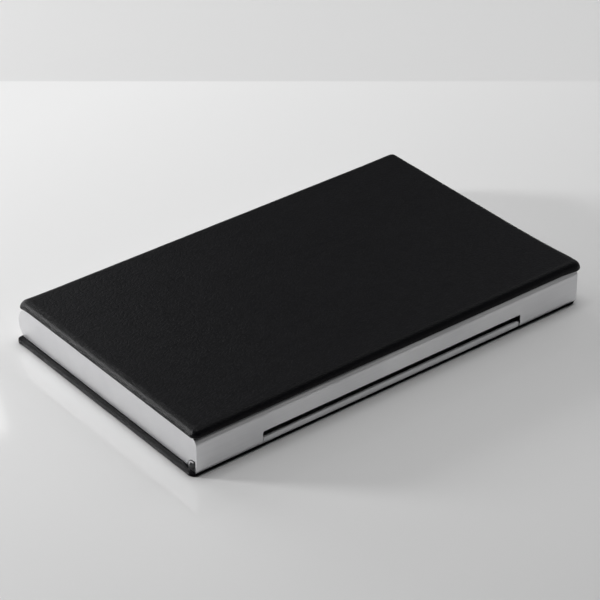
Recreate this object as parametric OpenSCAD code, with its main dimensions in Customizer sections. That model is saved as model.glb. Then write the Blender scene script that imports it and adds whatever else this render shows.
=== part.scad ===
// Hinged business card case: a folded steel tray and a folded steel lid, joined by a wire pin
// along one long side, each faced with a board wrapped in thin black leather.
// Frame: origin at the middle of the footprint, on the surface it lies on. X runs along the
// hinge, -Y is the hinge side, +Y is the opening side and Z is up. Shown closed.

/* [Case] */
// Length over the lower cover, along the hinge
case_len = 96; // [90:0.5:110]
// Width, from the hinge wall's face to the bulge of the rear wall
case_w = 58.88; // [57.5:0.02:66]
// Height of the closed case
case_h = 10.25; // [9.4:0.05:12]

/* [Covers] */
// Thickness of the leather
leather_t = 0.22; // [0.18:0.01:0.24]
// Length of the upper cover
lid_cover_len = 95; // [89:0.5:109]
// Width of the upper cover
lid_cover_w = 57.16; // [55:0.02:64]
// Thickness of the upper cover
lid_cover_t = 1.57; // [1.45:0.01:1.8]
// Plan radius of the upper cover's corners
lid_corner_r = 1.4; // [1.4:0.1:4]
// Radius rolled along the upper cover's edges
lid_edge_r = 1.3; // [0.6:0.05:1.35]
// Width of the lower cover
base_cover_w = 57.85; // [55:0.05:64]
// Thickness of the lower cover
base_cover_t = 1.1; // [0.9:0.05:1.2]
// Plan radius of the lower cover's corners
base_corner_r = 1.3; // [1:0.05:3]
// Radius along the lower cover's bottom edges
base_edge_r = 0.4; // [0.3:0.05:0.6]
// How far the leather is turned in over the back of its board
turn_in = 12; // [6:1:18]
// Thickness of the tape between each cover and its steel
tape_t = 0.05; // [0.03:0.01:0.1]

/* [Steel] */
// Thickness of the sheet
sheet_t = 0.4; // [0.35:0.05:0.45]
// Length of the steel, along the hinge
steel_len = 95; // [88:0.5:108]
// How far the steel is set to the right of the covers
steel_shift = 0.35; // [0:0.05:0.45]
// Outside radius of the bend between the lid's plate and its hinge wall
bend_r = 2; // [1.5:0.1:3]
// Outside radius of the rounded rear wall
gutter_r = 3.7; // [3.65:0.01:3.75]
// Width of the lip along the top of the rear wall
lip_w = 1.9; // [1:0.1:3]
// Radius of the folds below the end walls
fold_r = 0.3; // [0.2:0.1:0.8]

/* [Hinge] */
// Radius of the wire pin
pin_r = 0.33; // [0.3:0.01:0.34]
// Length of the wire pin
pin_len = 88; // [76:1:94]
// Height of the pin's axis
pin_z = 1.2; // [1.19:0.01:1.25]
// Distance from the hinge wall's face to the pin's axis
pin_inset = 0.92; // [0.9:0.01:0.95]
// Outside radius of the lid's two curls
curl_r = 1.36; // [1.35:0.01:1.38]
// Height of the curls' centre
curl_z = 1.61; // [1.61:0.01:1.63]
// Length of the notch in the hinge wall
notch_len = 64.4; // [40:0.2:76]
// Height of the notch's upper edge
notch_top = 3.62; // [3.6:0.02:5]
// Side gap between the knuckle and the notch
knuckle_gap = 0.25; // [0.1:0.05:0.5]
// Height of the knuckle's upper edge, a hem that stands up in the notch
hem_top = 2.27; // [2.1:0.01:2.6]
// Radius of the knuckle's rounded right end
knuckle_end_r = 0.7; // [0.3:0.05:0.8]

/* [Closure] */
// Length of each magnet
magnet_len = 12; // [6:1:20]
// Width of each magnet
magnet_w = 2.8; // [2:0.1:3]
// Thickness of each magnet
magnet_t = 1.4; // [1:0.1:1.8]
// Distance between the magnets' centres
magnet_pitch = 44; // [24:2:70]

/* [Hidden] */
$fn = 96;
eps = 0.01;
gap = 0.1;

// Colours of the finishes
leather_black = [0.10, 0.10, 0.11];
board_grey = [0.52, 0.50, 0.46];
tape_white = [0.88, 0.87, 0.82];
satin_steel = [0.74, 0.74, 0.75];
magnet_nickel = [0.62, 0.62, 0.64];
glue_amber = [0.80, 0.66, 0.36];

// Steel, along X
steel_left = steel_shift - steel_len / 2;
steel_right = steel_shift + steel_len / 2;

// Heights, from the surface up
plate_z = base_cover_t + tape_t;
lid_cover_z = case_h - lid_cover_t;
lid_top_z = lid_cover_z - tape_t;
lid_plate_z = lid_top_z - sheet_t;
wall_top_z = lid_plate_z - gap;

// Hinge side: the wall's face, the pin, the curls and the bend
face_y = -case_w / 2;
pin_y = face_y + pin_inset;
curl_y = face_y + curl_r;
bend_y = face_y + bend_r;
bend_z = lid_top_z - bend_r;
curl_mouth = 0.3;
pin_fit = 0.02;
knuckle_r = pin_r + pin_fit + sheet_t;
knuckle_len = notch_len - 2 * knuckle_gap;
// The curls sweep this radius about the pin, and the tray keeps outside it
curl_throw = norm([curl_y - pin_y, curl_z - pin_z]) + curl_r;
swing_r = curl_throw + 0.12;
notch_r = 0.4;

// Opening side: the rounded rear wall
gutter_y = case_w / 2 - gutter_r;
gutter_z = wall_top_z + 0.04 - gutter_r;
lid_back_y = face_y + lid_cover_w - 0.3;

// Tray
tray_front_y = pin_y + swing_r + 0.04;
tray_left = steel_left + 0.05;
tray_right = steel_right - 0.05;
wall_front_y = face_y + sheet_t + gap;
plate_back_y = gutter_y + 2.2;

// Lower cover: it stops short of the hinge, and one thickness of leather runs on below it
base_front_y = face_y + 0.33;
base_back_y = base_front_y + base_cover_w;
trough_y = tray_front_y - 0.1;
horn_x = steel_left - 0.15;

// Magnets, glued below the lip
magnet_y = gutter_y - lip_w + 0.35;
magnet_top_z = gutter_z + 3.03;

// Extrudes a (Y, Z) outline along X
module along_x(x0, x1) {
    translate([x0, 0, 0])
        rotate([90, 0, 90])
            linear_extrude(x1 - x0) children();
}

module block(low, high) {
    translate(low) cube(high - low);
}

module ring(outer, inner) {
    difference() {
        circle(outer);
        circle(inner);
    }
}

// Rectangle with round corners, centred
module round_rect(len, wid, r) {
    square([len - 2 * r, wid], center = true);
    square([len, wid - 2 * r], center = true);
    for (x = [-1, 1], y = [-1, 1])
        translate([x * (len / 2 - r), y * (wid / 2 - r)]) circle(r);
}

// Quarter disc that rounds one edge
module edge_quarter(r) {
    intersection() {
        circle(r);
        square(r);
    }
}

// Flat plate with round corners in plan and its upper edges rolled over
module rolled_plate(len, wid, t, corner_r, edge_r) {
    in = corner_r - edge_r;
    linear_extrude(t - edge_r) round_rect(len, wid, corner_r);
    linear_extrude(t) round_rect(len - 2 * edge_r, wid - 2 * edge_r, in);
    translate([0, 0, t - edge_r]) {
        for (a = [0, 180]) rotate(a) {
            translate([0, wid / 2 - edge_r, 0])
                along_x(corner_r - len / 2, len / 2 - corner_r) edge_quarter(edge_r);
            rotate(90)
                translate([0, len / 2 - edge_r, 0])
                    along_x(corner_r - wid / 2, wid / 2 - corner_r) edge_quarter(edge_r);
        }
        for (x = [-1, 1], y = [-1, 1])
            translate([x * (len / 2 - corner_r), y * (wid / 2 - corner_r), 0])
                rotate_extrude() {
                    square([in, edge_r]);
                    translate([in, 0]) edge_quarter(edge_r);
                }
    }
}

// The lower cover's outer form, finished face down
module base_cover_form() {
    translate([0, (base_front_y + base_back_y) / 2, base_cover_t])
        mirror([0, 0, 1])
            rolled_plate(case_len, base_cover_w, base_cover_t, base_corner_r, base_edge_r);
}

// The board inside the lower cover, which ends where the trough below the hinge starts
module base_board_form() {
    front = trough_y + leather_t;
    wid = base_back_y - leather_t - front;
    translate([0, front + wid / 2, base_cover_t - leather_t])
        mirror([0, 0, 1])
            rolled_plate(case_len - 2 * leather_t, wid, base_cover_t - 2 * leather_t,
                base_corner_r - leather_t, base_edge_r - 0.1);
}

module base_leather() {
    color(leather_black) difference() {
        base_cover_form();
        base_board_form();
        block([horn_x, face_y - 1, leather_t], [case_len, trough_y, base_cover_t + 1]);
        block([turn_in - case_len / 2, trough_y + turn_in, base_cover_t - leather_t - eps],
              [case_len / 2 - turn_in, base_back_y - turn_in, base_cover_t + 1]);
    }
}

module base_board() {
    color(board_grey) base_board_form();
}

module base_tape() {
    color(tape_white)
        block([tray_left + 1, tray_front_y + 0.3, base_cover_t],
              [tray_right - 1, plate_back_y - 0.5, plate_z]);
}

// Outline of an end wall, with room in its front corner for the curl to swing
module end_wall_outline() {
    corner = bend_r - sheet_t - gap;
    difference() {
        union() {
            translate([bend_y, plate_z]) square([gutter_y - bend_y, wall_top_z - plate_z]);
            translate([wall_front_y, plate_z]) square([bend_y - wall_front_y, bend_z - plate_z]);
            translate([bend_y, bend_z]) circle(corner);
            intersection() {
                translate([gutter_y, gutter_z]) circle(gutter_r);
                translate([gutter_y, plate_z]) square([gutter_r, wall_top_z - plate_z]);
            }
        }
        translate([pin_y, pin_z]) circle(swing_r);
    }
}

// Outline of the rear wall: the sheet bulges outwards and ends in a flat lip
module gutter_outline() {
    intersection() {
        translate([gutter_y, gutter_z]) ring(gutter_r, gutter_r - sheet_t);
        translate([gutter_y, plate_z]) square([gutter_r, 2 * gutter_r]);
    }
    translate([gutter_y - lip_w, gutter_z + gutter_r - sheet_t]) square([lip_w, sheet_t]);
}

// Outline that cuts a sharp bottom corner of the tray to a folded radius; side is -1 on the left
module fold_cut(side) {
    waste = fold_r + 1;
    difference() {
        translate([side < 0 ? -waste : 0, -waste]) square(waste);
        circle(fold_r);
    }
}

// Outline of the knuckle: a roll around the pin, and the hem folded up in front of it
module knuckle_outline() {
    hem_y = pin_y - knuckle_r;
    translate([pin_y, pin_z]) circle(knuckle_r);
    translate([hem_y, pin_z]) square([2 * sheet_t, hem_top - sheet_t - pin_z]);
    translate([hem_y + sheet_t, hem_top - sheet_t]) circle(sheet_t);
}

// The knuckle, with both corners of its right end rounded
module knuckle() {
    left = steel_shift - knuckle_len / 2;
    right = steel_shift + knuckle_len / 2;
    low = pin_z - knuckle_r;
    round_x = right - knuckle_end_r;
    intersection() {
        along_x(left, right) knuckle_outline();
        translate([0, tray_front_y, 0]) rotate([90, 0, 0]) linear_extrude(4) {
            translate([left, low]) square([round_x - left, hem_top - low]);
            translate([left, low + knuckle_end_r])
                square([right - left, hem_top - low - 2 * knuckle_end_r]);
            for (z = [low + knuckle_end_r, hem_top - knuckle_end_r])
                translate([round_x, z]) circle(knuckle_end_r);
        }
    }
}

module base_shell() {
    color(satin_steel) difference() {
        union() {
            block([tray_left, tray_front_y, plate_z], [tray_right, plate_back_y, plate_z + sheet_t]);
            block([steel_shift - knuckle_len / 2, pin_y, plate_z],
                  [steel_shift + knuckle_len / 2, tray_front_y + eps, plate_z + sheet_t]);
            along_x(tray_left, tray_left + sheet_t) end_wall_outline();
            along_x(tray_right - sheet_t, tray_right) end_wall_outline();
            along_x(tray_left, tray_right) gutter_outline();
            knuckle();
        }
        along_x(tray_left, tray_right) translate([pin_y, pin_z]) circle(pin_r + pin_fit);
        for (side = [-1, 1])
            translate([side < 0 ? tray_left + fold_r : tray_right - fold_r, case_w, plate_z + fold_r])
                rotate([90, 0, 0]) linear_extrude(2 * case_w) fold_cut(side);
    }
}

module hinge_pin() {
    color(satin_steel)
        along_x(steel_shift - pin_len / 2, steel_shift + pin_len / 2)
            translate([pin_y, pin_z]) circle(pin_r);
}

module magnet(x) {
    color(magnet_nickel)
        block([x - magnet_len / 2, magnet_y, magnet_top_z - magnet_t],
              [x + magnet_len / 2, magnet_y + magnet_w, magnet_top_z]);
}

module magnet_left() {
    magnet(steel_shift - magnet_pitch / 2);
}

module magnet_right() {
    magnet(steel_shift + magnet_pitch / 2);
}

// Glue that fills the space between each magnet and the rounded wall
module magnet_glue() {
    inset = 0.3;
    color(glue_amber)
        for (side = [-1, 1]) {
            x = steel_shift + side * magnet_pitch / 2;
            along_x(x - magnet_len / 2 + inset, x + magnet_len / 2 - inset) intersection() {
                translate([magnet_y + inset, magnet_top_z]) square([magnet_w - 2 * inset, 1]);
                union() {
                    translate([gutter_y, gutter_z]) circle(gutter_r - sheet_t);
                    translate([magnet_y, magnet_top_z])
                        square([gutter_y - magnet_y, gutter_z + gutter_r - sheet_t - magnet_top_z]);
                }
            }
        }
}

// Outline of the lid's bend, hinge wall and curl
module hinge_wall_outline() {
    intersection() {
        translate([bend_y, bend_z]) ring(bend_r, bend_r - sheet_t);
        translate([face_y, bend_z]) square(bend_r);
    }
    translate([face_y, curl_z]) square([sheet_t, bend_z - curl_z]);
    difference() {
        translate([curl_y, curl_z]) ring(curl_r, curl_r - sheet_t);
        translate([face_y - 1, curl_z]) square([curl_r + 1 - curl_mouth, curl_r + 1]);
    }
}

// The notch that the tray's knuckle lies in
module notch() {
    translate([steel_shift, curl_y + 2 * curl_r, 0])
        rotate([90, 0, 0])
            linear_extrude(4 * curl_r)
                round_rect(notch_len, 2 * notch_top, notch_r);
}

// The lid's plate, with its two free corners rounded
module lid_plate() {
    back_r = 2;
    wid = lid_back_y - bend_y;
    translate([steel_shift, bend_y, lid_plate_z]) linear_extrude(sheet_t) {
        translate([0, (wid - back_r) / 2]) square([steel_len, wid - back_r], center = true);
        translate([0, wid / 2]) square([steel_len - 2 * back_r, wid], center = true);
        for (side = [-1, 1])
            translate([side * (steel_len / 2 - back_r), wid - back_r]) circle(back_r);
    }
}

module lid_shell() {
    color(satin_steel) union() {
        lid_plate();
        difference() {
            along_x(steel_left, steel_right) hinge_wall_outline();
            notch();
        }
    }
}

module lid_tape() {
    color(tape_white)
        block([steel_left + 1, bend_y + 0.3, lid_top_z],
              [lid_cover_len / 2 - 1, lid_back_y - 1, lid_cover_z]);
}

// The upper cover's outer form, shrunk by the given skin on every side
module lid_cover_form(skin) {
    translate([0, face_y + lid_cover_w / 2, lid_cover_z + skin])
        rolled_plate(lid_cover_len - 2 * skin, lid_cover_w - 2 * skin, lid_cover_t - 2 * skin,
            lid_corner_r - skin, lid_edge_r - skin);
}

module lid_board() {
    color(board_grey) lid_cover_form(leather_t);
}

module lid_leather() {
    window = [lid_cover_len / 2 - turn_in, lid_cover_w / 2 - turn_in];
    mid_y = face_y + lid_cover_w / 2;
    color(leather_black) difference() {
        lid_cover_form(0);
        lid_cover_form(leather_t);
        block([-window[0], mid_y - window[1], lid_cover_z - 1],
              [window[0], mid_y + window[1], lid_cover_z + leather_t + eps]);
    }
}

base_leather();
base_board();
base_tape();
base_shell();
hinge_pin();
magnet_left();
magnet_right();
magnet_glue();
lid_shell();
lid_tape();
lid_board();
lid_leather();
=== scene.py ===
# %% [markdown]
# # A hinged business card case
#
# The case is two folded sheets of satin stainless steel. The lid and the tray share one wire pin
# along a long side. Each sheet carries a thin board wrapped in black nappa leather, which makes
# the case look like a slim book with a steel edge.
#
# The steel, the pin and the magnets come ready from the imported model. Their shape is right, so
# they only need good materials. The leather in that model is a plain solid, so both leather
# covers are modelled again here, with a real skin that rolls over the board's edges.

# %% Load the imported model
import math

import bmesh
import bpy
from mathutils import Matrix, Vector, noise


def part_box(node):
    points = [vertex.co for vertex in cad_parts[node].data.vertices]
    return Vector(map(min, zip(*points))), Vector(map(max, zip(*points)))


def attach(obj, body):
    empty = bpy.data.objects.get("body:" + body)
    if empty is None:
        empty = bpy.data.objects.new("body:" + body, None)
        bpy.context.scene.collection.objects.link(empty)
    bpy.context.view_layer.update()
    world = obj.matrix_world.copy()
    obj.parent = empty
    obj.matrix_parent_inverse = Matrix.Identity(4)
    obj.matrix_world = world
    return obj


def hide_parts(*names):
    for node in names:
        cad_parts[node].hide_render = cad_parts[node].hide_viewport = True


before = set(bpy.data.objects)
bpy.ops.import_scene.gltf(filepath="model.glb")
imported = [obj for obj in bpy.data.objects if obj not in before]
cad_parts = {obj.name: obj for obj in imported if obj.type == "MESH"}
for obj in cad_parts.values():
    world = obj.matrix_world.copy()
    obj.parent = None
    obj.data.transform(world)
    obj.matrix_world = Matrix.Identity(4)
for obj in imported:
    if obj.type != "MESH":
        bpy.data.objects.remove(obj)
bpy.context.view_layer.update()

# %% [markdown]
# ## Sizes
#
# Everything here is worked out in millimetres and turned to metres when a mesh is finished. The
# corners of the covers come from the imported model's own boxes. Only the small signs of hand work
# are numbers of their own, beside the cover that they belong to.

# %% Sizes, in millimetres
MM = 0.001
LEATHER_T = 0.22
TURN_IN = 12.0


def box_mm(node):
    """Lowest and highest corner of a CAD node, in millimetres."""
    low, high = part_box(node)
    return Vector(low) / MM, Vector(high) / MM


lid_low, lid_high = box_mm("lid_leather")
base_low, base_high = box_mm("base_leather")
board_low, board_high = box_mm("base_board")
steel_low = box_mm("lid_shell")[0]
print("upper cover:", [round(c, 2) for c in lid_high - lid_low])
print("lower cover:", [round(c, 2) for c in base_high - base_low])

# %% [markdown]
# ## Helpers for colours and for nodes
#
# Colours are written as hex values, the way a paint chart gives them. Blender's shaders want
# linear light, so one function turns them. Another small function adds a shader node, sets it up
# and wires it, so each material below reads as a list of its layers. Almost every finish ends
# with a colour, a gloss and a relief, and one more function wires those three to the shader.

# %% Colour and node helpers


def linear(hex_colour):
    """An sRGB hex colour as linear RGBA."""
    channels = [int(hex_colour[i:i + 2], 16) / 255 for i in (1, 3, 5)]
    return [c / 12.92 if c <= 0.04045 else ((c + 0.055) / 1.055) ** 2.4 for c in channels] + [1.0]


def add(tree, kind, sockets, **settings):
    """Adds a node. A socket gets a value, or a link where the value is another node's output."""
    node = tree.nodes.new(kind)
    for name, value in settings.items():
        setattr(node, name, value)
    for name, value in sockets.items():
        if isinstance(value, bpy.types.NodeSocket):
            tree.links.new(value, node.inputs[name])
        else:
            node.inputs[name].default_value = value
    return node


def new_material(name):
    """An empty material: its tree, its shader and the coordinates fixed to the object, in metres."""
    material = bpy.data.materials.new(name)
    material.use_nodes = True
    tree = material.node_tree
    coords = tree.nodes.new("ShaderNodeTexCoord").outputs["Object"]
    return material, tree, tree.nodes["Principled BSDF"], coords


def lay_on(tree, shader, colour, gloss, bump):
    """Wires the three layers of a finish, its colour, gloss and relief, to the shader."""
    tree.links.new(colour.outputs["Result"], shader.inputs["Base Color"])
    tree.links.new(gloss.outputs["Result"], shader.inputs["Roughness"])
    tree.links.new(bump.outputs["Normal"], shader.inputs["Normal"])


def per_mm(size):
    """Texture scale that repeats once every size millimetres."""
    return 1 / (size * MM)


# %% [markdown]
# ## Black nappa leather
#
# The covers are thin black leather with a nappa finish: a smooth, dyed and lightly sealed grain.
# Its grain is a net of shallow cells about half a millimetre wide, crossed by finer pores, with
# soft wrinkles where it was stretched over the board. The seal gives a weak, broad sheen, so the
# flat top looks almost black and only a rolled edge shows a highlight. The cells are drawn at
# 0.7 mm, a little coarser than life, so that they show at all. They are about twice as long
# along the case as across it, because the skin was pulled that way.

# %% Material: black nappa leather
LEATHER_DARK = "#070709"
LEATHER_LIGHT = "#0e0e11"
GRAIN_CELL = 0.7
PORE = 0.22
WRINKLE = 6.0


def nappa_leather():
    material, tree, shader, coords = new_material("leather_nappa_black_sealed")
    bent = add(tree, "ShaderNodeTexNoise", {"Vector": coords, "Scale": per_mm(2.5), "Detail": 2.0})
    warp = add(tree, "ShaderNodeVectorMath", {0: bent.outputs["Color"], "Scale": 0.5 * MM},
               operation="SCALE")
    place = add(tree, "ShaderNodeVectorMath", {0: coords, 1: warp.outputs["Vector"]},
                operation="ADD").outputs["Vector"]
    pulled = add(tree, "ShaderNodeMapping", {"Vector": place, "Scale": (0.6, 1.25, 1.0)})
    cells = add(tree, "ShaderNodeTexVoronoi", {"Vector": pulled.outputs["Vector"],
                                               "Scale": per_mm(GRAIN_CELL)}, feature="DISTANCE_TO_EDGE")
    flat_cells = add(tree, "ShaderNodeMapRange",
                     {"Value": cells.outputs["Distance"], "From Min": 0.0, "From Max": 0.22},
                     interpolation_type="SMOOTHSTEP").outputs["Result"]
    pores = add(tree, "ShaderNodeTexNoise", {"Vector": coords, "Scale": per_mm(PORE), "Detail": 3.0,
                                             "Roughness": 0.6}).outputs["Fac"]
    stretch = add(tree, "ShaderNodeMapping", {"Vector": place, "Scale": (0.45, 1.6, 1.0),
                                              "Rotation": (0.0, 0.0, math.radians(20))})
    wrinkles = add(tree, "ShaderNodeTexNoise", {"Vector": stretch.outputs["Vector"],
                                                "Scale": per_mm(WRINKLE), "Detail": 5.0,
                                                "Roughness": 0.55}).outputs["Fac"]
    grain = add(tree, "ShaderNodeMath", {0: flat_cells, 1: 0.6, 2: pores},
                operation="MULTIPLY_ADD").outputs["Value"]
    height = add(tree, "ShaderNodeMath", {0: wrinkles, 1: 2.2, 2: grain},
                 operation="MULTIPLY_ADD").outputs["Value"]
    tone = add(tree, "ShaderNodeMapRange", {"Value": grain, "From Min": 0.4, "From Max": 1.2})
    colour = add(tree, "ShaderNodeMix",
                 {"Factor": tone.outputs["Result"], "A": linear(LEATHER_DARK), "B": linear(LEATHER_LIGHT)},
                 data_type="RGBA")
    gloss = add(tree, "ShaderNodeMapRange", {"Value": height, "From Min": 1.2, "From Max": 2.4,
                                             "To Min": 0.45, "To Max": 0.34})
    bump = add(tree, "ShaderNodeBump", {"Height": height, "Strength": 0.8, "Distance": 0.045 * MM})
    lay_on(tree, shader, colour, gloss, bump)
    shader.inputs["IOR"].default_value = 1.45
    shader.inputs["Specular IOR Level"].default_value = 0.12
    return material


leather = nappa_leather()
print("leather:", leather.name, len(leather.node_tree.nodes), "nodes")

# %% [markdown]
# ## Satin stainless steel
#
# The sheet is 0.4 mm stainless steel with a satin finish, ground with a fine belt along the hinge
# and then blasted. The belt leaves hair lines about a tenth of a millimetre apart, and the blasting
# blurs every reflection, so the walls mirror the surface around them only as soft patches of light
# and shade. The hair lines are one noise that is drawn out along X.

# %% Material: satin stainless steel
STEEL_LIGHT = "#e4e4e5"
STEEL_DARK = "#d8d8da"
HAIR_LINE = 0.12
HAIR_LENGTH = 14.0


def satin_steel():
    material, tree, shader, coords = new_material("steel_stainless_satin_belt_ground")
    drawn = add(tree, "ShaderNodeMapping", {"Vector": coords, "Scale": (HAIR_LINE / HAIR_LENGTH, 1, 1)})
    hairs = add(tree, "ShaderNodeTexNoise", {"Vector": drawn.outputs["Vector"],
                                             "Scale": per_mm(HAIR_LINE), "Detail": 3.0,
                                             "Roughness": 0.65}).outputs["Fac"]
    blast = add(tree, "ShaderNodeTexNoise", {"Vector": coords, "Scale": per_mm(0.09),
                                             "Detail": 2.0}).outputs["Fac"]
    cloud = add(tree, "ShaderNodeTexNoise", {"Vector": coords, "Scale": per_mm(9.0),
                                             "Detail": 2.0}).outputs["Fac"]
    height = add(tree, "ShaderNodeMath", {0: hairs, 1: 0.7, 2: blast},
                 operation="MULTIPLY_ADD").outputs["Value"]
    tone = add(tree, "ShaderNodeMath", {0: hairs, 1: 0.6, 2: cloud},
               operation="MULTIPLY_ADD").outputs["Value"]
    even = add(tree, "ShaderNodeMapRange", {"Value": tone, "From Min": 0.5, "From Max": 1.1})
    colour = add(tree, "ShaderNodeMix",
                 {"Factor": even.outputs["Result"], "A": linear(STEEL_DARK), "B": linear(STEEL_LIGHT)},
                 data_type="RGBA")
    gloss = add(tree, "ShaderNodeMapRange", {"Value": tone, "From Min": 0.5, "From Max": 1.1,
                                             "To Min": 0.40, "To Max": 0.34})
    bump = add(tree, "ShaderNodeBump", {"Height": height, "Strength": 0.25, "Distance": 0.004 * MM})
    lay_on(tree, shader, colour, gloss, bump)
    shader.inputs["Metallic"].default_value = 1.0
    return material


steel = satin_steel()
print("steel:", steel.name, len(steel.node_tree.nodes), "nodes")

# %% [markdown]
# ## The small parts' finishes
#
# Five materials show only when the case is open, or at a gap. The pin is drawn wire, whose die
# leaves fine lines along its length. The magnets are sintered and nickel plated, so they are
# brighter than the steel and faintly pebbled. Two beds of epoxy hold them, glossy and amber, with
# the slow swirl that it sets with. The boards are grey recycled card, dull, with flecks of fibre.
# The covers are stuck on with double-sided tape, whose milky streaks follow the way it was drawn.


# %% Material: drawn steel wire
def drawn_wire():
    material, tree, shader, coords = new_material("steel_wire_drawn")
    drawn = add(tree, "ShaderNodeMapping", {"Vector": coords, "Scale": (0.01, 1, 1)})
    lines = add(tree, "ShaderNodeTexNoise", {"Vector": drawn.outputs["Vector"],
                                             "Scale": per_mm(0.06), "Detail": 2.0}).outputs["Fac"]
    colour = add(tree, "ShaderNodeMix", {"Factor": lines, "A": linear("#9c9c9e"), "B": linear("#bcbcbe")},
                 data_type="RGBA")
    gloss = add(tree, "ShaderNodeMapRange", {"Value": lines, "To Min": 0.32, "To Max": 0.22})
    bump = add(tree, "ShaderNodeBump", {"Height": lines, "Strength": 0.3, "Distance": 0.003 * MM})
    lay_on(tree, shader, colour, gloss, bump)
    shader.inputs["Metallic"].default_value = 1.0
    return material


# %% Material: nickel-plated magnet
def nickel_plate():
    material, tree, shader, coords = new_material("nickel_plated_sintered")
    pebbles = add(tree, "ShaderNodeTexVoronoi", {"Vector": coords, "Scale": per_mm(0.25)},
                  feature="SMOOTH_F1").outputs["Distance"]
    colour = add(tree, "ShaderNodeMix", {"Factor": pebbles, "A": linear("#cfccc6"), "B": linear("#b4b1aa")},
                 data_type="RGBA")
    gloss = add(tree, "ShaderNodeMapRange", {"Value": pebbles, "To Min": 0.12, "To Max": 0.22})
    bump = add(tree, "ShaderNodeBump", {"Height": pebbles, "Strength": 0.2, "Distance": 0.006 * MM})
    lay_on(tree, shader, colour, gloss, bump)
    shader.inputs["Metallic"].default_value = 1.0
    return material


# %% Material: cured epoxy
def cured_epoxy():
    material, tree, shader, coords = new_material("epoxy_cured_amber")
    swirl = add(tree, "ShaderNodeTexNoise", {"Vector": coords, "Scale": per_mm(1.5),
                                             "Detail": 2.0}).outputs["Fac"]
    colour = add(tree, "ShaderNodeMix", {"Factor": swirl, "A": linear("#a98c55"), "B": linear("#c9b07a")},
                 data_type="RGBA")
    gloss = add(tree, "ShaderNodeMapRange", {"Value": swirl, "To Min": 0.12, "To Max": 0.25})
    bump = add(tree, "ShaderNodeBump", {"Height": swirl, "Strength": 0.4, "Distance": 0.04 * MM})
    lay_on(tree, shader, colour, gloss, bump)
    return material


# %% Material: grey board
def grey_board():
    material, tree, shader, coords = new_material("grey_board_recycled")
    lie_flat = add(tree, "ShaderNodeMapping", {"Vector": coords, "Scale": (1, 1, 4)})
    fibres = add(tree, "ShaderNodeTexNoise", {"Vector": lie_flat.outputs["Vector"],
                                              "Scale": per_mm(0.6), "Detail": 6.0,
                                              "Roughness": 0.7}).outputs["Fac"]
    colour = add(tree, "ShaderNodeMix", {"Factor": fibres, "A": linear("#77726a"), "B": linear("#a39d92")},
                 data_type="RGBA")
    gloss = add(tree, "ShaderNodeMapRange", {"Value": fibres, "To Min": 0.98, "To Max": 0.85})
    bump = add(tree, "ShaderNodeBump", {"Height": fibres, "Strength": 0.5, "Distance": 0.03 * MM})
    lay_on(tree, shader, colour, gloss, bump)
    return material


# %% Material: double-sided tape
def milky_tape():
    material, tree, shader, coords = new_material("tape_double_sided_milky")
    drag = add(tree, "ShaderNodeMapping", {"Vector": coords, "Scale": (0.2, 1, 1)})
    streaks = add(tree, "ShaderNodeTexNoise", {"Vector": drag.outputs["Vector"],
                                               "Scale": per_mm(1.2), "Detail": 3.0}).outputs["Fac"]
    colour = add(tree, "ShaderNodeMix", {"Factor": streaks, "A": linear("#d9d5c8"), "B": linear("#eeebe2")},
                 data_type="RGBA")
    gloss = add(tree, "ShaderNodeMapRange", {"Value": streaks, "To Min": 0.45, "To Max": 0.65})
    bump = add(tree, "ShaderNodeBump", {"Height": streaks, "Strength": 0.3, "Distance": 0.02 * MM})
    lay_on(tree, shader, colour, gloss, bump)
    return material


# %% [markdown]
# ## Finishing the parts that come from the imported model
#
# These parts keep their meshes. Each one only swaps the plain colour in its material slot.

# %% Materials on the CAD nodes
finishes = {
    "lid_shell": steel,
    "base_shell": steel,
    "hinge_pin": drawn_wire(),
    "magnet_left": nickel_plate(),
    "magnet_glue": cured_epoxy(),
    "lid_board": grey_board(),
    "lid_tape": milky_tape(),
}
finishes["magnet_right"] = finishes["magnet_left"]
finishes["base_board"] = finishes["lid_board"]
finishes["base_tape"] = finishes["lid_tape"]
for node_name, finish in finishes.items():
    for material_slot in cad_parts[node_name].material_slots:
        material_slot.material = finish
print("finished CAD nodes:", len(finishes))

# %% [markdown]
# ## Wrapping a board in leather
#
# A bookbinder pastes the skin on the board's face, rolls it over the edges and turns a margin in
# behind. So each cover is a thin skin with a window at the back, where the bare board shows. It
# could be one surface with a Solidify modifier, but the lower cover runs on as a single thickness
# below the hinge, where Solidify would fold over itself. Instead the outside and the hollow for
# the board are two closed forms, and the two windows are bridged.
#
# Hand-wrapped leather is never quite flat. The skin is cut into a fine grid, and each point moves
# a few hundredths of a millimetre along a smooth noise, more along the rolled edges.

# %% Helpers for the covers
GRID = 1.5
CORNER_STEPS = 10
ROLL_STEPS = 8


def cut(bm, at, normal):
    """Cuts the whole mesh along one plane, and keeps both sides."""
    bmesh.ops.bisect_plane(bm, geom=bm.verts[:] + bm.edges[:] + bm.faces[:], plane_co=at,
                           plane_no=normal, dist=1e-5)


def slab(low, high):
    """A bmesh of a plain block between two corners."""
    bm = bmesh.new()
    size = high - low
    bmesh.ops.create_cube(bm, size=1.0)
    bmesh.ops.scale(bm, vec=size, verts=bm.verts)
    bmesh.ops.translate(bm, vec=(low + high) / 2, verts=bm.verts)
    return bm


def round_edges(bm, chosen, radius, steps):
    """Rounds the edges that the test picks, by their two ends."""
    edges = [e for e in bm.edges if chosen(e.verts[0].co, e.verts[1].co)]
    bmesh.ops.bevel(bm, geom=edges, offset=radius, offset_type="OFFSET", segments=steps,
                    profile=0.5, affect="EDGES", material=-1, clamp_overlap=True)
    return len(edges)


def upright(a, b):
    return abs(a.x - b.x) < 1e-4 and abs(a.y - b.y) < 1e-4


def level_at(z):
    """A test for edges that lie in the level z."""
    return lambda a, b: abs(a.z - z) < 1e-4 and abs(b.z - z) < 1e-4


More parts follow.
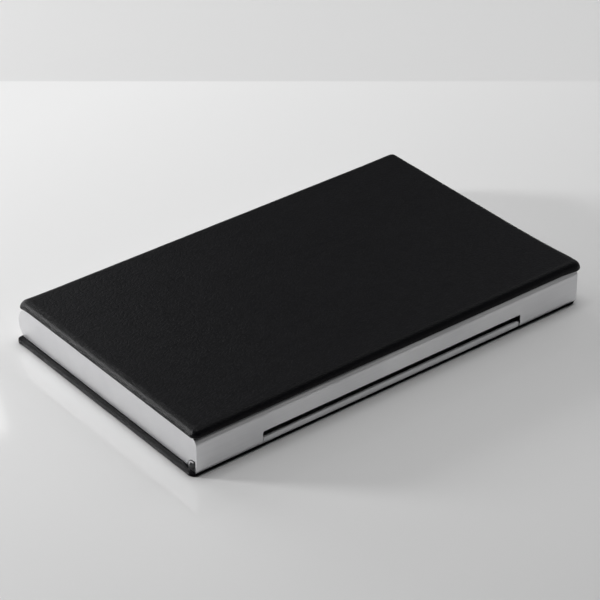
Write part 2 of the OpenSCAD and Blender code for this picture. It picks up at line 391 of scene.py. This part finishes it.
def cut_grid(bm, low, high, step):
    """Cuts the mesh along a grid of upright planes."""
    for axis in (0, 1):
        count = max(1, round((high[axis] - low[axis]) / step))
        for i in range(1, count):
            at = Vector((0, 0, 0))
            at[axis] = low[axis] + (high[axis] - low[axis]) * i / count
            cut(bm, at, (1, 0, 0) if axis == 0 else (0, 1, 0))


def open_window(bm, level, low, high):
    """Cuts a window in the face at a level and removes it."""
    for axis, value in ((0, low.x), (0, high.x), (1, low.y), (1, high.y)):
        at = Vector((0, 0, 0))
        at[axis] = value
        cut(bm, at, (1, 0, 0) if axis == 0 else (0, 1, 0))
    inside = []
    for face in bm.faces:
        c = face.calc_center_median()
        if abs(c.z - level) < 1e-4 and low.x < c.x < high.x and low.y < c.y < high.y:
            inside.append(face)
    bmesh.ops.delete(bm, geom=inside, context="FACES")


def join(bm, other):
    """Adds another bmesh's geometry to bm."""
    carrier = bpy.data.meshes.new("carrier")
    other.to_mesh(carrier)
    other.free()
    bm.from_mesh(carrier)
    bpy.data.meshes.remove(carrier)


def wrap(outer, hollow, outer_level, hollow_level, low, high):
    """Turns two closed forms into one skin with a window at its back."""
    open_window(outer, outer_level, low, high)
    open_window(hollow, hollow_level, low, high)
    bmesh.ops.reverse_faces(hollow, faces=hollow.faces)
    join(outer, hollow)
    rim = [e for e in outer.edges if e.is_boundary]
    bmesh.ops.bridge_loops(outer, edges=rim)
    bmesh.ops.recalc_face_normals(outer, faces=outer.faces)
    return len(rim)


# %% [markdown]
# The unevenness has two scales. A slow one, 9 mm long, is the pull of the paste and the board. A
# short one, 2 mm long, is the grain's own pucker, and it grows towards a rolled edge.

# %% A helper that gives the skin its unevenness
SWELL = 0.018
SWELL_LENGTH = 9.0
PUCKER = 0.022
PUCKER_LENGTH = 2.0
RIM_REACH = 3.0


def uneven(bm, low, high, seed):
    """Moves each point along its normal by a smooth noise, more near the outline."""
    bm.normal_update()
    moves = {}
    for v in bm.verts:
        rim = min(v.co.x - low.x, high.x - v.co.x, v.co.y - low.y, high.y - v.co.y)
        edge = max(0.0, 1.0 - max(rim, 0.0) / RIM_REACH)
        slow = noise.noise(v.co / SWELL_LENGTH + Vector((seed, 0, 0)))
        quick = noise.noise(v.co / PUCKER_LENGTH + Vector((0, seed, 0)))
        moves[v] = v.normal * (SWELL * slow + PUCKER * quick * (0.2 + 0.8 * edge))
    for v, move in moves.items():
        v.co += move
    return max(m.length for m in moves.values())


def as_piece(bm, name, material, body, slot_name, *nodes):
    """Makes the object of a bmesh in millimetres, hangs it on its body and hides the CAD nodes it replaces.
    """
    bmesh.ops.scale(bm, vec=(MM, MM, MM), verts=bm.verts)
    mesh = bpy.data.meshes.new(name)
    bm.to_mesh(mesh)
    bm.free()
    mesh.polygons.foreach_set("use_smooth", [True] * len(mesh.polygons))
    mesh.materials.append(material)
    piece = bpy.data.objects.new(name, mesh)
    bpy.context.scene.collection.objects.link(piece)
    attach(piece, body)
    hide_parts(*nodes)
    mesh.calc_loop_triangles()
    print(name + ":", len(mesh.loop_triangles), "triangles")


# %% [markdown]
# ## The upper cover
#
# It is the largest surface of the case: a slab 1.6 mm thick whose upper edge is rolled over to a
# radius of 1.3 mm. One bevel takes the upright corners and the upper edges together, so each
# corner comes out as a piece of a ball. The lower edge folds sharply around the board.
#
# Hand work shows at the rim. The front edge bulges a little past the steel, and its right half
# sags. The cover creeps past the steel at the back and on the right, most at the front corner,
# where the folds of the margin push it out. The lower edge is drawn out and down into a small
# point at that corner, and into another one at the far left.

# %% Upper cover
LID_ROLL = 1.3
FOLD = 0.1
CREEP = 0.3
CREEP_REACH = 4.0
CORNER_PUSH = 1.15
PUSH_REACH = 20.0
OVERHANG = 0.2
SAG = 0.3
SAG_FROM = -14.0
SAG_TO = 2.0
HOOK = 0.4
DROOP = 0.2
TIP_OUT = 0.9
LEFT_CREEP = 0.14
BACK_CREEP = 0.22
FLARE_FROM = 38.0
FLARE_TO = 47.0
FAR_TIP = Vector((-1.0, 0.5, -0.15))


def rolled_form(low, high, roll):
    """A slab whose upright corners and upper edges are rounded by one radius."""
    form = slab(low, high)
    top = level_at(high.z)
    round_edges(form, lambda a, b: upright(a, b) or top(a, b), roll, ROLL_STEPS)
    return form


def ramp(value, start, end):
    """0 before start, 1 past end, and a straight line between them."""
    return max(0.0, min(1.0, (value - start) / (end - start)))


def by_hand(bm):
    """Moves the rim the way hand work leaves it: creep on all sides, sag, and drawn-out corners."""
    for v in bm.verts:
        right = ramp(v.co.x, lid_high.x - CREEP_REACH, lid_high.x)
        front = ramp(v.co.y, lid_low.y + RIM_REACH, lid_low.y)
        back = ramp(v.co.y, lid_high.y - RIM_REACH, lid_high.y)
        corner = ramp(v.co.y, lid_low.y + PUSH_REACH, lid_low.y)
        low = ramp(v.co.z, lid_high.z, lid_low.z)
        left = ramp(v.co.x, steel_low.x, lid_low.x)
        tip = front * right
        far_tip = ramp(v.co.x, lid_low.x + RIM_REACH, lid_low.x) * back
        v.co.x += right * right * (CREEP + CORNER_PUSH * corner * corner) + TIP_OUT * low * tip ** 3
        v.co.x -= LEFT_CREEP * left * low
        flare = ramp(abs(v.co.x), FLARE_FROM, FLARE_TO)
        sag = SAG * front * front * ramp(v.co.x, SAG_FROM, SAG_TO)
        v.co.y += BACK_CREEP * back * back * (1.0 + flare ** 2)
        v.co.y -= front * front * OVERHANG
        v.co.z -= low * (sag + HOOK * tip + LEFT_CREEP * left)
        v.co.z -= DROOP * tip * tip
        v.co += far_tip ** 3 * low * FAR_TIP


outside = rolled_form(lid_low, lid_high, LID_ROLL)
round_edges(outside, level_at(lid_low.z), FOLD, 3)
skin = Vector((LEATHER_T, LEATHER_T, LEATHER_T))
inside_form = rolled_form(lid_low + skin, lid_high - skin, LID_ROLL - LEATHER_T)

margin = Vector((TURN_IN, TURN_IN, 0))
rim_edges = wrap(outside, inside_form, lid_low.z, lid_low.z + LEATHER_T,
                 lid_low + margin, lid_high - margin)
cut_grid(outside, lid_low, lid_high, GRID)
cut(outside, (steel_low.x, 0, 0), (1, 0, 0))
by_hand(outside)
moved = uneven(outside, lid_low, lid_high, 3.7)
print("upper cover: rim", rim_edges, "edges, largest move", round(moved, 3), "mm")
as_piece(outside, "lid_cover", leather, "lid", "leather", "lid_leather")

# %% [markdown]
# ## The lower cover
#
# It is the same work, face down, with one difference: the hinge needs room to swing. The board
# stops short of it, and a single thickness of leather runs on below the hinge wall. On the left a
# narrow ledge keeps the cover's full height right to the corner. So the outline is first a flat
# sheet with round corners, cut in four cells and drawn up by one thickness, and then all but one
# of the cells are drawn up to the full height. Here too the skin is drawn out a little at the
# right front corner, and into a small pleat at the far left one.

# %% Lower cover: the outline, drawn up in two steps
BASE_CORNER = 1.3
LEDGE_END = 0.15
trough_y = board_low.y - LEATHER_T
ledge_x = steel_low.x - LEDGE_END


def draw_up(bm, faces, height):
    """Extrudes faces straight up, and returns the faces on top."""
    grown = bmesh.ops.extrude_face_region(bm, geom=faces)["geom"]
    points = [g for g in grown if isinstance(g, bmesh.types.BMVert)]
    bmesh.ops.translate(bm, vec=(0, 0, height), verts=points)
    return [g for g in grown if isinstance(g, bmesh.types.BMFace)]


outside = bmesh.new()
span = base_high - base_low
bmesh.ops.create_grid(outside, x_segments=1, y_segments=1, size=0.5)
bmesh.ops.scale(outside, vec=(span.x, span.y, 1), verts=outside.verts)
bmesh.ops.translate(outside, vec=(0, (base_low.y + base_high.y) / 2, 0), verts=outside.verts)
bmesh.ops.bevel(outside, geom=outside.verts[:], offset=BASE_CORNER, offset_type="OFFSET",
                segments=CORNER_STEPS, profile=0.5, affect="VERTICES", material=-1)
cut(outside, (ledge_x, 0, 0), (1, 0, 0))
cut(outside, (0, trough_y, 0), (0, 1, 0))
thin = draw_up(outside, outside.faces[:], LEATHER_T)
boarded = []
for face in thin:
    c = face.calc_center_median()
    if c.x < ledge_x or c.y > trough_y:
        boarded.append(face)
draw_up(outside, boarded, span.z - LEATHER_T)
bmesh.ops.recalc_face_normals(outside, faces=outside.faces)
bmesh.ops.dissolve_limit(outside, angle_limit=math.radians(1), verts=outside.verts, edges=outside.edges)
print("lower cover:", len(outside.verts), "points,", len(outside.faces), "faces before rounding")

# %% [markdown]
# The two upright edges where the full height ends are rounded first, then the upper edge all
# round it, then the sole that the case rests on. The hollow for the board stops short of the
# trough, so the strip below the hinge stays one thickness of leather. The window opens towards
# the tray, as the one in the upper cover opens towards the lid.

# %% Lower cover: rounded edges, the hollow and the window
LEDGE_ROLL = 0.3
SOLE_ROLL = 0.18
TIP_REACH = Vector((4.0, 5.0, 0))
TIP_PUSH = Vector((0.45, -0.12, 0))
PLEAT = Vector((-0.9, 0.3, 0.15))


def step_ends(a, b):
    """The two upright edges where the full height ends at the trough."""
    at_side = abs(a.x - base_high.x) < 1e-3 and abs(a.y - trough_y) < 1e-3
    at_front = abs(a.x - ledge_x) < 1e-3 and abs(a.y - base_low.y) < 1e-3
    return upright(a, b) and (at_side or at_front)


round_edges(outside, step_ends, LEDGE_ROLL, 4)
round_edges(outside, level_at(base_high.z), LEDGE_ROLL, 5)
round_edges(outside, level_at(base_low.z), SOLE_ROLL, 4)

hollow = slab(board_low, board_high)
round_edges(hollow, upright, BASE_CORNER - LEATHER_T, CORNER_STEPS)
round_edges(hollow, level_at(board_low.z), SOLE_ROLL, 3)

window_low = Vector((base_low.x + TURN_IN, trough_y + TURN_IN, 0))
rim_edges = wrap(outside, hollow, base_high.z, board_high.z, window_low, base_high - margin)
cut_grid(outside, base_low, base_high, GRID)
for v in outside.verts:
    right = ramp(v.co.x, base_high.x - TIP_REACH.x, base_high.x)
    front = ramp(v.co.y, base_low.y + TIP_REACH.y, base_low.y)
    left = ramp(v.co.x, base_low.x + RIM_REACH, base_low.x)
    back = ramp(v.co.y, base_high.y - RIM_REACH, base_high.y)
    v.co += (front * right) ** 2 * TIP_PUSH + (left * back) ** 3 * PLEAT
moved = uneven(outside, base_low, base_high, 11.3)
print("lower cover: rim", rim_edges, "edges, largest move", round(moved, 3), "mm")
as_piece(outside, "base_cover", leather, "tray", "leather", "base_leather")

# %% [markdown]
# ## The floor and the backdrop
#
# The case lies on a sheet of glossy white acrylic. The gloss is sharp enough to mirror the steel
# and the dark covers faintly, and it is weak against the white below it. The white is painted
# slowly darker towards the front, as painted shade for the light that falls off there. A little
# behind the case the sheet ends, and a paper backdrop lies beyond it, a shade darker.


# %% Floor and backdrop
AZIMUTH = math.radians(38.39)
FLOOR_Z = -0.03
SHEET_END = 103.0
REACH = 1500.0
BACKDROP_END = 2500.0
CLOUD = 60.0
CLOUD_SHARE = 0.06


def stage_material_painted_falloff(name, near, far, roughness, depth):
    """A pale sheet with painted shade: darker towards the front over a depth in millimetres, and a faint
    cloud.
    """
    material, tree, shader, coords = new_material(name)
    place = add(tree, "ShaderNodeSeparateXYZ", {"Vector": coords})
    cloud = add(tree, "ShaderNodeTexNoise", {"Vector": coords, "Scale": per_mm(CLOUD), "Detail": 2.0})
    # Painted shade: the colour runs from near, darker, at the front to far at the back, for the light that
    # falls off towards the front.
    back = add(tree, "ShaderNodeMapRange", {"Value": place.outputs["Y"], "From Min": -depth / 2 * MM,
                                            "From Max": depth / 2 * MM})
    mixed = add(tree, "ShaderNodeMath", {0: cloud.outputs["Fac"], 1: CLOUD_SHARE,
                                             2: back.outputs["Result"]},
                operation="MULTIPLY_ADD")
    colour = add(tree, "ShaderNodeMix", {"Factor": mixed.outputs["Value"], "A": linear(near),
                                         "B": linear(far)}, data_type="RGBA")
    tree.links.new(colour.outputs["Result"], shader.inputs["Base Color"])
    shader.inputs["Roughness"].default_value = roughness
    return material


def stage_sheet(name, low, high, z, material):
    """A flat rectangle that isn't part of the object, in millimetres, turned to face the camera."""
    bm = bmesh.new()
    bmesh.ops.create_grid(bm, x_segments=1, y_segments=1, size=0.5)
    bmesh.ops.scale(bm, vec=(high[0] - low[0], high[1] - low[1], 1), verts=bm.verts)
    middle = Vector(((low[0] + high[0]) / 2, (low[1] + high[1]) / 2, z))
    bmesh.ops.translate(bm, vec=middle, verts=bm.verts)
    bmesh.ops.rotate(bm, matrix=Matrix.Rotation(-AZIMUTH, 3, "Z"), verts=bm.verts)
    bmesh.ops.scale(bm, vec=(MM, MM, MM), verts=bm.verts)
    mesh = bpy.data.meshes.new(name)
    bm.to_mesh(mesh)
    bm.free()
    mesh.materials.append(material)
    sheet = bpy.data.objects.new(name, mesh)
    bpy.context.scene.collection.objects.link(sheet)


# Both sheets carry the painted shade towards the front; on the paper it is faint.
acrylic = stage_material_painted_falloff("acrylic_white_glossy", "#d2d2d2", "#f5f5f5", 0.05, 220.0)
paper = stage_material_painted_falloff("paper_white", "#dcdcdc", "#e0e0e0", 0.6, 900.0)
stage_sheet("floor", (-REACH, -REACH), (REACH, SHEET_END), FLOOR_Z, acrylic)
stage_sheet("backdrop", (-REACH, SHEET_END), (REACH, BACKDROP_END), FLOOR_Z, paper)
print("stage: floor and backdrop, which meet", SHEET_END, "mm behind the case's middle")

# %% [markdown]
# ## Camera
#
# The camera stands half a metre away with a long lens, a little to the left of the hinge side and
# about 33 degrees up. Depth of field stays off.

# %% Camera
ELEVATION = math.radians(32.52)
DISTANCE = 522.0
AIM = Vector((1.3, 1.4, 4.0))
LENS = 157.0

away = Vector((-math.sin(AZIMUTH) * math.cos(ELEVATION),
               -math.cos(AZIMUTH) * math.cos(ELEVATION), math.sin(ELEVATION)))
camera = bpy.data.objects.new("camera", bpy.data.cameras.new("camera"))
camera.data.lens = LENS
camera.data.sensor_width = 36.0
camera.data.clip_start = 0.01
camera.location = (AIM + away * DISTANCE) * MM
camera.rotation_euler = (-away).to_track_quat("-Z", "Y").to_euler()
bpy.context.scene.collection.objects.link(camera)
bpy.context.scene.camera = camera
print("camera, mm:", [round(c / MM, 1) for c in camera.location])

# %% [markdown]
# ## Light
#
# Most of the light comes from above, from behind and from the right. A soft box hangs overhead, a
# lamp and a weak panel stand behind the case, and a large fill on the right evens out the floor.
# Together they put the soft shadow in front of the hinge side. A small box on the upper left
# lifts the floor there.
#
# Two low windows stand far behind. The middle one skims the floor, which mirrors it at a flat
# angle. The left one draws the highlight along the rolled left edge of the upper cover. A faint
# fill in front keeps the bend above the hinge wall from going dark. The room adds almost
# nothing, which keeps the leather black.


# %% Lights
ROOM = 0.01


def soft_light(name, direction, distance, width, height, power):
    """An area light in the given direction from the case, in millimetres and watts."""
    lamp = bpy.data.lights.new(name, "AREA")
    lamp.shape = "RECTANGLE"
    lamp.size = width * MM
    lamp.size_y = height * MM
    lamp.energy = power
    light = bpy.data.objects.new(name, lamp)
    towards = Vector(direction).normalized()
    light.location = towards * distance * MM
    light.rotation_euler = towards.to_track_quat("Z", "Y").to_euler()
    bpy.context.scene.collection.objects.link(light)


soft_light("soft_box", (0.0, 0.0, 1.0), 800, 400, 400, 2.6)
soft_light("left_box", (-0.5, 0.3, 0.81), 420, 300, 260, 0.2)
soft_light("back_lamp", (0.0, 0.9, 0.4), 520, 360, 280, 0.65)
soft_light("back_panel", (0.5, 0.63, 0.59), 900, 680, 560, 0.3)
soft_light("back_window", (-0.12, 0.98, 0.14), 1100, 600, 300, 3.6)
soft_light("left_window", (-0.713, 0.661, 0.22), 1100, 180, 160, 9.0)
soft_light("right_fill", (0.8, 0.09, 0.59), 900, 680, 560, 1.6)
soft_light("front_fill", (0.55, -0.8, 0.26), 1100, 700, 300, 0.3)

world = bpy.data.worlds.new("dim_room")
world.use_nodes = True
background = world.node_tree.nodes["Background"]
background.inputs["Color"].default_value = linear("#f4f4f6")
background.inputs["Strength"].default_value = ROOM
bpy.context.scene.world = world
bpy.context.scene.view_settings.view_transform = "Standard"
